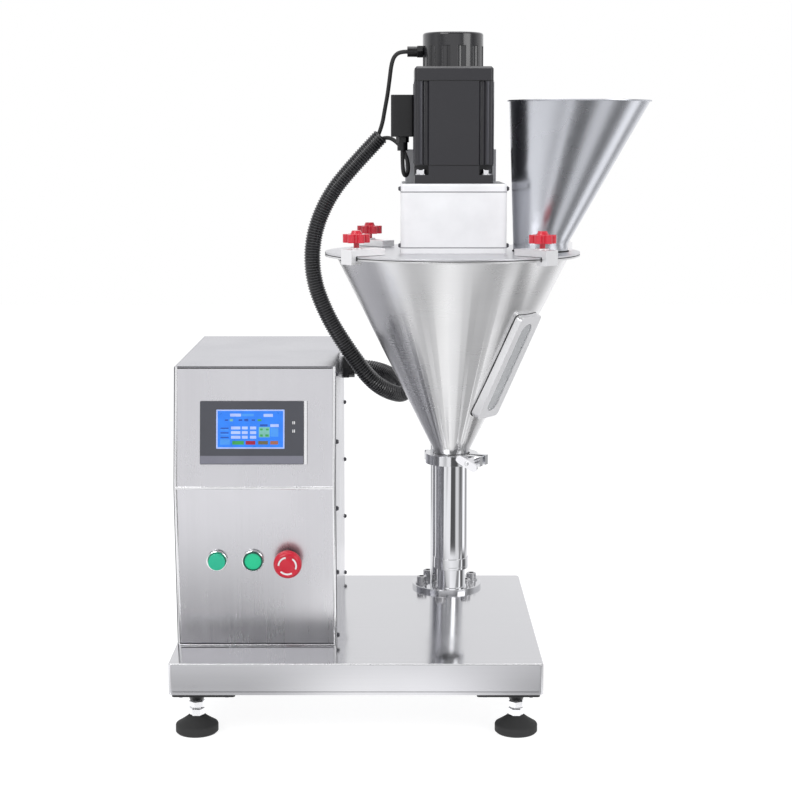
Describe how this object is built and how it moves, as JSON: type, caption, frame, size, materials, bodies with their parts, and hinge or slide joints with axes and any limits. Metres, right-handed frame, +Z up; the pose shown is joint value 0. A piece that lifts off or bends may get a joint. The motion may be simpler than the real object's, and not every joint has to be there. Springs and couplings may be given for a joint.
{
  "type": "auger powder filler",
  "caption": "Tabletop auger powder filler with a cone hopper, servo-driven auger, side feed hopper, touch screen cabinet and column on a footed base.",
  "frame": {"origin": "on the table, under the middle of the machine's outline", "axes": "+Z up, +X to the operator's right, -Y towards the operator"},
  "size_m": [0.686, 0.48, 0.9824],
  "materials": {
    "brushed_stainless": "brushed",
    "polished_steel": "polished",
    "satin_steel": "satin",
    "satin_aluminium": "satin",
    "zinc_plate": "satin",
    "gear_steel": "machined",
    "chrome_trim": "polished",
    "white_satin": "satin",
    "motor_charcoal": "satin",
    "black_gloss": "gloss",
    "black_plastic": "matte",
    "cable_jacket": "matte",
    "black_rubber": "matte",
    "red_plastic": "gloss",
    "green_plastic": "gloss",
    "display_glass": "gloss",
    "clear_glass": "clear"
  },
  "bodies": {
    "frame": {"auger_tube": "polished_steel", "band_clamp": "polished_steel", "base_tray": "brushed_stainless", "bearings": "gear_steel", "cabinet_shell": "brushed_stainless", "cabinet_side_left": "brushed_stainless", "cabinet_side_right": "brushed_stainless", "cable_glands": "black_plastic", "clamp_blocks": "satin_steel", "column": "polished_steel", "column_flange": "polished_steel", "column_yoke": "satin_aluminium", "conduit": "black_plastic", "control_plate": "zinc_plate", "drive_housing": "white_satin", "encoder_cable": "cable_jacket", "foot_plates": "black_plastic", "head_bracket": "satin_aluminium", "hopper": "brushed_stainless", "housing_base": "white_satin", "housing_top": "white_satin", "lid": "brushed_stainless", "lower_panel": "brushed_stainless", "motor": "motor_charcoal", "motor_cap": "black_gloss", "nozzle": "polished_steel", "power_cable": "cable_jacket", "screen_bezel": "black_plastic", "screen_glass": "display_glass", "screws_and_bolts": "satin_steel", "seals": "black_rubber", "servo_drive": "black_plastic", "switch_bodies": "chrome_trim", "terminal_box": "black_plastic", "upper_panel": "brushed_stainless", "window_frame": "satin_steel", "window_glass": "clear_glass"},
    "auger_drive": {"auger": "polished_steel", "drive_shaft": "gear_steel"},
    "layshaft": {"layshaft": "gear_steel"},
    "agitator": {"agitator": "polished_steel"},
    "start_button": {"start_button": "green_plastic"},
    "stop_button": {"stop_button": "green_plastic"},
    "stop_plunger": {"stop_plunger": "black_plastic"},
    "stop_mushroom": {"stop_mushroom": "red_plastic"},
    "wing_nut": {"wing_nut": "chrome_trim"},
    "feed_hopper": {"feed_hopper": "polished_steel"},
    "clamp_pad_front_right": {"clamp_pad_front_right": "gear_steel"},
    "clamp_pad_rear_right": {"clamp_pad_rear_right": "gear_steel"},
    "clamp_pad_rear_left": {"clamp_pad_rear_left": "gear_steel"},
    "clamp_pad_front_left": {"clamp_pad_front_left": "gear_steel"},
    "clamp_knob_front_right": {"clamp_knob_front_right": "red_plastic"},
    "clamp_knob_rear_right": {"clamp_knob_rear_right": "red_plastic"},
    "clamp_knob_rear_left": {"clamp_knob_rear_left": "red_plastic"},
    "clamp_knob_front_left": {"clamp_knob_front_left": "red_plastic"},
    "foot_front_left": {"foot_front_left": "black_rubber"},
    "foot_front_right": {"foot_front_right": "black_rubber"},
    "foot_rear_left": {"foot_rear_left": "black_rubber"},
    "foot_rear_right": {"foot_rear_right": "black_rubber"}
  },
  "joints": [
    {"name": "auger_spin", "type": "hinge", "parent": "frame", "child": "auger_drive", "pos_m": [0.055, -0.04, 0.205], "axis": [0, 0, 1], "continuous": true},
    {"name": "layshaft_spin", "type": "hinge", "parent": "frame", "child": "layshaft", "pos_m": [0.055, 0.005, 0.7], "axis": [0, 0, 1], "continuous": true},
    {"name": "agitator_spin", "type": "hinge", "parent": "frame", "child": "agitator", "pos_m": [0.055, -0.04, 0.686], "axis": [0, 0, 1], "continuous": true},
    {"name": "start_press", "type": "slide", "parent": "frame", "child": "start_button", "axis": [0, 0.9959, 0.0907], "range_m": [0, 0.0035], "stiffness_N_per_m": 300},
    {"name": "stop_press", "type": "slide", "parent": "frame", "child": "stop_button", "axis": [0, 0.9959, 0.0907], "range_m": [0, 0.0035], "stiffness_N_per_m": 300},
    {"name": "stop_mushroom_press", "type": "slide", "parent": "frame", "child": "stop_plunger", "axis": [0, 0.9959, 0.0907], "range_m": [0, 0.004], "stiffness_N_per_m": 800},
    {"name": "stop_mushroom_twist", "type": "hinge", "parent": "stop_plunger", "child": "stop_mushroom", "pos_m": [-0.18, -0.16285, 0.237], "axis": [0, -0.9959, -0.0907], "range_deg": [-45, 0], "stiffness_Nm_per_rad": 0.05},
    {"name": "wing_nut_spin", "type": "hinge", "parent": "frame", "child": "wing_nut", "pos_m": [0.0925, -0.06165, 0.3619], "axis": [-0.5, -0.866, 0], "continuous": true},
    {"name": "feed_hopper_lift", "type": "slide", "parent": "frame", "child": "feed_hopper", "axis": [0, 0, 1], "range_m": [0, 0.06]},
    {"name": "clamp_knob_front_right_turn", "type": "hinge", "parent": "clamp_pad_front_right", "child": "clamp_knob_front_right", "pos_m": [0.17571, -0.16945, 0.69], "axis": [0, 0, 1], "range_deg": [0, 864]},
    {"name": "clamp_pad_front_right_lift", "type": "slide", "parent": "frame", "child": "clamp_pad_front_right", "axis": [0, 0, 1], "range_m": [0, 0.0031]},
    {"name": "clamp_knob_rear_right_turn", "type": "hinge", "parent": "clamp_pad_rear_right", "child": "clamp_knob_rear_right", "pos_m": [0.2167, 0.03199, 0.69], "axis": [0, 0, 1], "range_deg": [0, 864]},
    {"name": "clamp_pad_rear_right_lift", "type": "slide", "parent": "frame", "child": "clamp_pad_rear_right", "axis": [0, 0, 1], "range_m": [0, 0.0031]},
    {"name": "clamp_knob_rear_left_turn", "type": "hinge", "parent": "clamp_pad_rear_left", "child": "clamp_knob_rear_left", "pos_m": [-0.06796, 0.08732, 0.69], "axis": [0, 0, 1], "range_deg": [0, 864]},
    {"name": "clamp_pad_rear_left_lift", "type": "slide", "parent": "frame", "child": "clamp_pad_rear_left", "axis": [0, 0, 1], "range_m": [0, 0.0031]},
    {"name": "clamp_knob_front_left_turn", "type": "hinge", "parent": "clamp_pad_front_left", "child": "clamp_knob_front_left", "pos_m": [-0.08256, -0.15139, 0.69], "axis": [0, 0, 1], "range_deg": [0, 864]},
    {"name": "clamp_pad_front_left_lift", "type": "slide", "parent": "frame", "child": "clamp_pad_front_left", "axis": [0, 0, 1], "range_m": [0, 0.0031]},
    {"name": "foot_front_left_extend", "type": "slide", "parent": "frame", "child": "foot_front_left", "axis": [0, 0, -1], "range_m": [0, 0.02]},
    {"name": "foot_front_right_extend", "type": "slide", "parent": "frame", "child": "foot_front_right", "axis": [0, 0, -1], "range_m": [0, 0.02]},
    {"name": "foot_rear_left_extend", "type": "slide", "parent": "frame", "child": "foot_rear_left", "axis": [0, 0, -1], "range_m": [0, 0.02]},
    {"name": "foot_rear_right_extend", "type": "slide", "parent": "frame", "child": "foot_rear_right", "axis": [0, 0, -1], "range_m": [0, 0.02]}
  ],
  "couplings": [
    {"joint": "layshaft_spin", "follows": "auger_spin", "ratio": -0.33333},
    {"joint": "agitator_spin", "follows": "auger_spin", "ratio": 0.16667},
    {"joint": "clamp_pad_front_right_lift", "follows": "clamp_knob_front_right_turn", "m_per_rad": 0.00019894},
    {"joint": "clamp_pad_rear_right_lift", "follows": "clamp_knob_rear_right_turn", "m_per_rad": 0.00019894},
    {"joint": "clamp_pad_rear_left_lift", "follows": "clamp_knob_rear_left_turn", "m_per_rad": 0.00019894},
    {"joint": "clamp_pad_front_left_lift", "follows": "clamp_knob_front_left_turn", "m_per_rad": 0.00019894}
  ]
}
